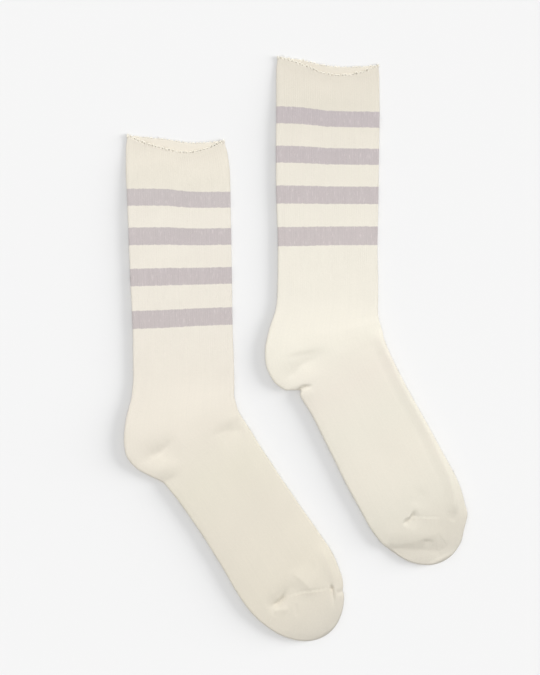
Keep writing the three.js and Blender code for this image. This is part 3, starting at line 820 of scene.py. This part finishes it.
class NodeDesk:
    """Small helpers that add nodes to one material and give back the socket that the next node needs."""

    def __init__(self, name):
        self.material = bpy.data.materials.new(name)
        self.material.use_nodes = True
        self.nodes = self.material.node_tree.nodes
        self.links = self.material.node_tree.links
        self.shader = self.nodes["Principled BSDF"].inputs
        self.spot = self.add("ShaderNodeTexCoord").outputs["Object"]

    def join(self, value, socket):
        if isinstance(value, bpy.types.NodeSocket):
            self.links.new(value, socket)
        else:
            socket.default_value = value

    def add(self, kind, inputs=(), **settings):
        node = self.nodes.new(kind)
        for key, value in settings.items():
            setattr(node, key, value)
        for socket, value in dict(inputs).items():
            self.join(value, node.inputs[socket])
        return node

    def map_axes(self, name):
        """The two axes of one of the mesh's UV maps."""
        places = self.add("ShaderNodeUVMap", uv_map=name).outputs[0]
        return self.add("ShaderNodeSeparateXYZ", {"Vector": places}).outputs[:2]

    def math(self, operation, *values, clamp=False):
        return self.add("ShaderNodeMath", enumerate(values), operation=operation, use_clamp=clamp).outputs[0]

    def plus(self, *values):
        return self.math("ADD", *values)

    def minus(self, *values, clamp=False):
        return self.math("SUBTRACT", *values, clamp=clamp)

    def times(self, *values, clamp=False):
        return self.math("MULTIPLY", *values, clamp=clamp)

    def share(self, value, whole, clamp=False):
        return self.math("DIVIDE", value, whole, clamp=clamp)

    def distance(self, value, middle):
        return self.math("ABSOLUTE", self.minus(value, middle))

    def spread(self, value, low, high):
        """Maps 0 to 1 onto low to high."""
        return self.plus(self.times(value, high - low), low)

    def swing(self, value, reach):
        """How far a noise lies above or below its middle, times a reach."""
        return self.times(self.minus(value, 0.5), reach)

    def scale(self, colour, amount):
        return self.add("ShaderNodeVectorMath", {0: colour, "Scale": amount}, operation="SCALE").outputs[0]

    def blend(self, amount, first, second):
        sockets = {"Factor": amount, 6: first, 7: second}
        return self.add("ShaderNodeMix", sockets, data_type="RGBA", clamp_factor=True).outputs[2]

    def noise(self, vector, scale, detail=2.0, roughness=0.5):
        sockets = {"Vector": vector, "Scale": scale, "Detail": detail, "Roughness": roughness}
        return self.add("ShaderNodeTexNoise", sockets).outputs["Fac"]

    def ramp(self, amount, stops):
        node = self.add("ShaderNodeValToRGB", {0: amount})
        elements = node.color_ramp.elements
        while len(elements) < len(stops):
            elements.new(0.5)
        for element, (position, colour) in zip(elements, stops):
            element.position = position
            element.color = (*colour, 1.0)
        return node.outputs[0]

    def relief(self, height, strength, depth):
        """Bends the shader's normal by a height of so many metres."""
        bump = self.add("ShaderNodeBump", {"Height": height, "Strength": strength, "Distance": depth})
        self.join(bump.outputs[0], self.shader["Normal"])


def finish_cotton(desk, colour, tone, roughness, look):
    """Joins a cotton's colour, tone and roughness to the shader, with the same soft edge light on all of it."""
    for socket, value in {
        "Base Color": desk.scale(colour, tone),
        "Roughness": roughness,
        "Specular IOR Level": 0.18,
        "Sheen Weight": look.sheen,
        "Sheen Roughness": 0.55,
        "Sheen Tint": (1.0, 0.98, 0.94, 1.0),
    }.items():
        desk.join(value, desk.shader[socket])
    return desk.material


def knit_material(sock_name, cloth, look):
    """Plain knit. The cream comes from tints along the sock, which carry painted shade towards the toe's tip and
    painted light on the right sock, and mauve rows lie between the stripes' distances, with each edge following the V
    of the stitches. Wales differ a little in tone, painted shade darkens the sunk wale of each rib and the gaps between
    the stitches, and the bump draws V-shaped stitches, one wale wide and one course tall, under a fine fuzz."""
    sock = SOCKS[sock_name]
    desk = NodeDesk(f"{sock_name}_cream_and_mauve_knit_with_painted_shade")
    wale, at = desk.map_axes("knit")

    def patches(across, along, detail=2.0):
        """Noise with patches so many to a wale across and to a millimetre along."""
        vector = desk.add("ShaderNodeCombineXYZ", {0: desk.times(wale, across), 1: desk.times(at, along)}).outputs[0]
        return desk.noise(vector, 1.0, detail)

    beside = desk.distance(desk.math("FRACT", wale), 0.5)
    slanted = desk.plus(desk.share(at, cloth.course), desk.times(beside, STITCH_SLANT))
    row = desk.math("SINE", desk.times(slanted, 2 * math.pi))
    strand = desk.minus(1.0, desk.math("POWER", desk.times(desk.distance(beside, 0.25), 4.0), 2.0))
    stitch = desk.times(strand, desk.spread(row, 0.62, 0.92))
    fuzz = desk.noise(desk.spot, 1900.0, 3.0, 0.65)

    wander = desk.swing(patches(0.22, 0.0), EDGE_WANDER)
    edge_at = desk.plus(desk.plus(at, desk.times(beside, EDGE_SLANT)), wander)
    in_stripe = 0.0
    for start, end in sock["stripes"]:
        off = desk.distance(edge_at, (start + end) / 2 - EDGE_SHIFT)
        one = desk.math("MULTIPLY_ADD", off, -EDGE_SHARPNESS, (end - start) / 2 * EDGE_SHARPNESS + 0.5, clamp=True)
        in_stripe = desk.math("MAXIMUM", in_stripe, one)
    reach = sock["tip_at"] + 6
    # The cream ramp carries painted shade towards the toe's tip and painted light on the right sock
    cream, mauve = (
        desk.ramp(desk.share(at, reach), [(stop / reach, as_albedo(tint, look)) for stop, *tint in table[sock_name]])
        for table in (CREAM_TINTS_WITH_PAINTED_SHADE, MAUVE_TINTS)
    )

    # Painted shade: the sunk wale of each rib is darkened, unevenly, until the ribs end on the foot
    ribbed = desk.minus(1.0, desk.share(desk.minus(at, SUNK_FADE_FROM), SUNK_FADE_LENGTH, clamp=True))
    from_sunk = desk.distance(desk.math("FRACT", desk.share(wale, float(WALES_A_RIB))), 0.5 / WALES_A_RIB)
    sunk = desk.times(desk.minus(1.0, desk.times(from_sunk, 4.5), clamp=True), ribbed)
    uneven = desk.times(desk.minus(patches(0.31, 0.04), 0.38, clamp=True), 4.0)
    dash = desk.times(desk.minus(patches(1.1, 0.16, 1.0), 0.6, clamp=True), 6.0, clamp=True)
    inside = desk.math("GREATER_THAN", wale, INNER_WALES - 0.5)
    tone = 1.0
    for part in (
        desk.swing(patches(0.8, 0.012, 1.0), desk.spread(in_stripe, *STREAK_TONE)),
        desk.times(dash, desk.spread(in_stripe, *DASH_TONE)),
        desk.swing(desk.noise(desk.spot, 620.0, 3.0, 0.7), desk.spread(in_stripe, *HEATHER_TONE)),
        desk.swing(desk.noise(desk.spot, 22.0), CLOUD_TONE),
        # painted shade between the stitches' strands and rows
        desk.times(desk.minus(1.0, stitch), STITCH_GAP_SHADE),
        desk.times(inside, INNER_TONE),
        desk.times(desk.times(sunk, uneven), desk.spread(in_stripe, *SUNK_WALE_SHADE)),
    ):
        tone = desk.plus(part, tone)
    desk.relief(desk.plus(desk.times(stitch, 0.8), desk.times(fuzz, 0.5)), look.bump_strength, STITCH_DEPTH)
    return finish_cotton(desk, desk.blend(in_stripe, cream, mauve), tone, desk.spread(fuzz, 0.84, 0.98), look)


def yarn_material(name, tint, look):
    """Loose cotton yarn: a two-ply twist drawn along the yarn's own map, with uneven tone and painted shade that
    darkens the grooves between the plies.
    """
    desk = NodeDesk(name)
    round_yarn, along_yarn = desk.map_axes("yarn")
    turn = desk.plus(desk.times(round_yarn, 2.0), desk.times(along_yarn, 0.9))
    ply = desk.math("SINE", desk.times(turn, 2 * math.pi))
    patch = desk.noise(desk.spot, 260.0)
    # The ply term is painted shade: the twist's grooves are darker and its crests lighter
    tone = desk.plus(desk.spread(patch, 0.93, 1.06), desk.times(ply, 0.025))
    desk.relief(ply, 0.5, TWIST_DEPTH)
    return finish_cotton(desk, as_albedo(tint, look), tone, desk.spread(patch, 0.85, 0.97), look)


def floor_material(look):
    """Matt pale board with a hardly visible grain."""
    desk = NodeDesk("pale_matt_board")
    grain = desk.spread(desk.noise(desk.spot, 700.0), 0.997, 1.003)
    desk.join(desk.scale((look.floor_albedo,) * 3, grain), desk.shader["Base Color"])
    desk.join(1.0, desk.shader["Roughness"])
    desk.join(0.0, desk.shader["Specular IOR Level"])
    return desk.material


def lay_in_frame(piece):
    """A piece moves with the whole object."""
    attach(piece, "root")


def trim(name, description, default, least, most):
    return bpy.props.FloatProperty(name=name, description=description, default=default, min=least, max=most)


def angle(name, description, degrees):
    return bpy.props.FloatProperty(name=name, description=description, default=math.radians(degrees), subtype="ANGLE")


class SockCloth(bpy.types.PropertyGroup):
    """Sizes of the knitted cloth, in millimetres."""

    leg_wall: trim("Leg cloth", "Thickness of the ribbed leg, mm", 1.5, 1.0, 3.0)
    foot_wall: trim("Foot cloth", "Thickness of the looped foot, mm", 2.4, 1.0, 4.0)
    cuff_thinning: trim("Cuff thinning", "How much thinner the cuff's edge is, mm", 0.5, 0.0, 1.2)
    rib_height: trim("Rib height", "Height of a rib over its sunk wale, mm", 0.14, 0.0, 1.0)
    wave_height: trim("Unevenness", "Height of the slow waves in the cloth, mm", 0.35, 0.0, 1.0)
    course: trim("Course height", "Height of one knitted row, mm", 0.8, 0.4, 2.0)
    loop_reach: trim("Loop reach", "How far cuff loops stand out, times their usual size", 1.0, 0.2, 2.0)
    loop_yarn: trim("Loop yarn", "Thickness of the cuff loops' yarn, mm", 1.0, 0.2, 1.2)
    seam_stitch: trim("Seam stitch", "Spacing of the toe seam's stitches, mm", 2.1, 1.0, 4.0)
    fibres: bpy.props.IntProperty(
        name="Fibres", description="How many loose fibre ends a sock has", default=1800, min=0, max=6000
    )
    fibre_width: trim("Fibre width", "Thickness of a loose fibre, mm", 0.09, 0.02, 0.3)


class SockLook(bpy.types.PropertyGroup):
    """Colours, light and camera."""

    floor_albedo: trim("Floor albedo", "Share of light that the floor returns", 0.62, 0.1, 0.95)
    knit_trim: trim("Knit brightness", "Trim on the yarn's brightness", 1.37, 0.5, 1.5)
    sheen: trim("Sheen", "Soft edge light of the cotton", 0.3, 0.0, 1.0)
    bump_strength: trim("Stitch relief", "Strength of the stitches' relief", 0.45, 0.0, 1.0)
    low_light: trim("Low light", "Strength of the low light that lays the soft shadows on the floor", 4.5, 0.0, 20.0)
    low_height: angle("Low light height", "Angle above the floor", 16)
    low_heading: angle("Low light heading", "Turn from straight right", 8)
    key_light: trim("Key light", "Strength of the broad light from the upper right", 2.1, 0.0, 20.0)
    key_height: angle("Key light height", "Angle above the floor", 43)
    key_heading: angle("Key light heading", "Turn from straight right", 66)
    edge_light: trim("Edge light", "Strength of the weak light on the socks' shaded left edges", 0.7, 0.0, 20.0)
    edge_height: angle("Edge light height", "Angle above the floor", 8)
    edge_heading: angle("Edge light heading", "Turn from straight right", 190)
    floor_light: trim("Floor light", "Strength of the light straight down that only the floor takes", 1.35, 0.0, 20.0)
    top_light: trim("Top light", "Strength of the very broad light above", 0.68, 0.0, 20.0)
    sky: trim("Fill light", "Strength of the even fill", 0.45, 0.0, 2.0)
    camera_height: bpy.props.FloatProperty(
        name="Camera height", description="Camera above the floor", default=3.0, unit="LENGTH", min=0.5
    )
    camera_at: bpy.props.FloatVectorProperty(
        name="Camera place",
        description="Point of the floor in the middle of the frame",
        default=(-0.02117, 0.00993),
        size=2,
        unit="LENGTH",
    )
    frame_height: bpy.props.FloatProperty(
        name="Frame height", description="Height of the floor that the frame shows", default=0.57375, unit="LENGTH"
    )


def each_sock(context):
    """Both socks' names, each with the cloth's sizes and the look."""
    for sock_name in SOCKS:
        yield sock_name, context.scene.sock_cloth, context.scene.sock_look


class SOCKS_OT_knit_tubes(bpy.types.Operator):
    """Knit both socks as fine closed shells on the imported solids"""

    bl_idname = "socks.knit_tubes"
    bl_label = "Knit the Socks"

    def execute(self, context):
        for sock_name, cloth, look in each_sock(context):
            piece = knit_tube(sock_name, cloth, knit_material(sock_name, cloth, look))
            lay_in_frame(piece)
            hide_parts(sock_name)
        return {"FINISHED"}


class SOCKS_OT_cuff_loops(bpy.types.Operator):
    """Add the small cast-on loops along both cuffs"""

    bl_idname = "socks.cuff_loops"
    bl_label = "Add Cuff Loops"

    def execute(self, context):
        for sock_name, cloth, look in each_sock(context):
            material = yarn_material(f"{sock_name}_cuff_yarn_painted_lighter", CUFF_YARN_PAINTED_LIGHTER, look)
            lay_in_frame(cuff_loops(sock_name, cloth, material))
        return {"FINISHED"}


class SOCKS_OT_toe_seams(bpy.types.Operator):
    """Add the linking yarn over both toe seams"""

    bl_idname = "socks.toe_seams"
    bl_label = "Add Toe Seams"

    def execute(self, context):
        for sock_name, cloth, look in each_sock(context):
            material = yarn_material(f"{sock_name}_seam_yarn", CREAM_TINTS_WITH_PAINTED_SHADE[sock_name][-3][1:], look)
            lay_in_frame(toe_seam(sock_name, cloth, material))
        return {"FINISHED"}


class SOCKS_OT_fibres(bpy.types.Operator):
    """Add the fine fibre ends that stand off the knit"""

    bl_idname = "socks.fibres"
    bl_label = "Add Loose Fibres"

    def execute(self, context):
        for sock_name, cloth, look in each_sock(context):
            material = yarn_material(f"{sock_name}_fibre_yarn", CREAM_TINTS_WITH_PAINTED_SHADE[sock_name][3][1:], look)
            lay_in_frame(loose_fibres(sock_name, cloth, material))
        return {"FINISHED"}


class SOCKS_OT_stage(bpy.types.Operator):
    """Lay the pale floor, light it softly from the right, and hang the camera above"""

    bl_idname = "socks.stage"
    bl_label = "Set the Stage"

    def execute(self, context):
        look = context.scene.sock_look
        marks = np.linspace(-FLOOR_REACH, FLOOR_REACH, FLOOR_CELLS + 1)
        grid = np.stack(np.meshgrid(marks, marks, [FLOOR_AT], indexing="ij"), -1).reshape(-1, 3)
        row, column = np.meshgrid(np.arange(FLOOR_CELLS), np.arange(FLOOR_CELLS), indexing="ij")
        corner = (row * (FLOOR_CELLS + 1) + column).ravel()
        above = corner + FLOOR_CELLS + 1
        faces = np.stack([corner, above, above + 1, corner + 1], -1).tolist()
        floor = fill_mesh("pale_floor", grid, faces, {}, floor_material(look))
        floor_only = bpy.data.collections.new("floor_that_has_its_own_lights")
        floor_only.objects.link(floor)
        socks_only = bpy.data.collections.new("socks_that_have_their_own_lights")
        for piece in context.scene.objects:
            if piece.type == "MESH" and piece != floor:
                socks_only.objects.link(piece)
        for name, strength, spread, height, heading, takers in (
            ("low_light", look.low_light, 34, look.low_height, look.low_heading, floor_only),
            ("key_light", look.key_light, 60, look.key_height, look.key_heading, socks_only),
            ("top_light", look.top_light, 110, math.pi / 2, 0.0, None),
            ("edge_light", look.edge_light, 24, look.edge_height, look.edge_heading, socks_only),
            ("floor_light", look.floor_light, 20, math.pi / 2, 0.0, floor_only),
        ):
            lamp = bpy.data.lights.new(name, "SUN")
            lamp.energy = strength
            lamp.angle = math.radians(spread)
            holder = bpy.data.objects.new(name, lamp)
            holder.rotation_euler = (0, math.pi / 2 - height, heading)
            holder.location = (1.0, 0, 1.0)
            context.scene.collection.objects.link(holder)
            if takers:
                holder.light_linking.receiver_collection = takers
        world = bpy.data.worlds.new("soft_studio")
        world.use_nodes = True
        nodes, links = world.node_tree.nodes, world.node_tree.links
        fill = nodes["Background"]
        fill.inputs["Color"].default_value = (1, 1, 1, 1)
        fill.inputs["Strength"].default_value = look.sky
        backdrop = nodes.new("ShaderNodeBackground")
        backdrop.inputs["Color"].default_value = (linear(FLOOR_SEEN),) * 3 + (1,)
        seen = nodes.new("ShaderNodeLightPath")
        mix = nodes.new("ShaderNodeMixShader")
        links.new(seen.outputs["Is Camera Ray"], mix.inputs[0])
        links.new(fill.outputs[0], mix.inputs[1])
        links.new(backdrop.outputs[0], mix.inputs[2])
        links.new(mix.outputs[0], nodes["World Output"].inputs["Surface"])
        context.scene.world = world
        lens = bpy.data.cameras.new("camera")
        lens.sensor_width = 36.0
        lens.lens = lens.sensor_width * look.camera_height / look.frame_height
        lens.clip_start, lens.clip_end = 0.05, 100.0
        camera = bpy.data.objects.new("camera", lens)
        camera.location = (*look.camera_at, look.camera_height)
        context.scene.collection.objects.link(camera)
        context.scene.camera = camera
        context.scene.view_settings.view_transform = "Standard"
        context.scene.view_settings.look = "None"
        return {"FINISHED"}


class SOCKS_PT_panel(bpy.types.Panel):
    """Lists the steps and the sizes of the pair"""

    bl_idname = "SOCKS_PT_panel"
    bl_label = "Striped Crew Socks"
    bl_space_type = "VIEW_3D"
    bl_region_type = "UI"
    bl_category = "Socks"

    def draw(self, context):
        column = self.layout.column()
        for step in STEPS:
            column.operator(step.bl_idname)
        for group in (context.scene.sock_cloth, context.scene.sock_look):
            for key in group.__annotations__:
                column.prop(group, key)


STEPS = (SOCKS_OT_knit_tubes, SOCKS_OT_cuff_loops, SOCKS_OT_toe_seams, SOCKS_OT_fibres, SOCKS_OT_stage)
CLASSES = (SockCloth, SockLook, *STEPS, SOCKS_PT_panel)


def register():
    for one in CLASSES:
        bpy.utils.register_class(one)
    bpy.types.Scene.sock_cloth = bpy.props.PointerProperty(type=SockCloth)
    bpy.types.Scene.sock_look = bpy.props.PointerProperty(type=SockLook)


def unregister():
    del bpy.types.Scene.sock_look
    del bpy.types.Scene.sock_cloth
    for one in reversed(CLASSES):
        bpy.utils.unregister_class(one)


def main():
    register()
    bpy.ops.socks.knit_tubes()
    bpy.ops.socks.cuff_loops()
    bpy.ops.socks.toe_seams()
    bpy.ops.socks.fibres()
    bpy.ops.socks.stage()
    bpy.context.view_layer.update()


if __name__ == "__main__":
    main()
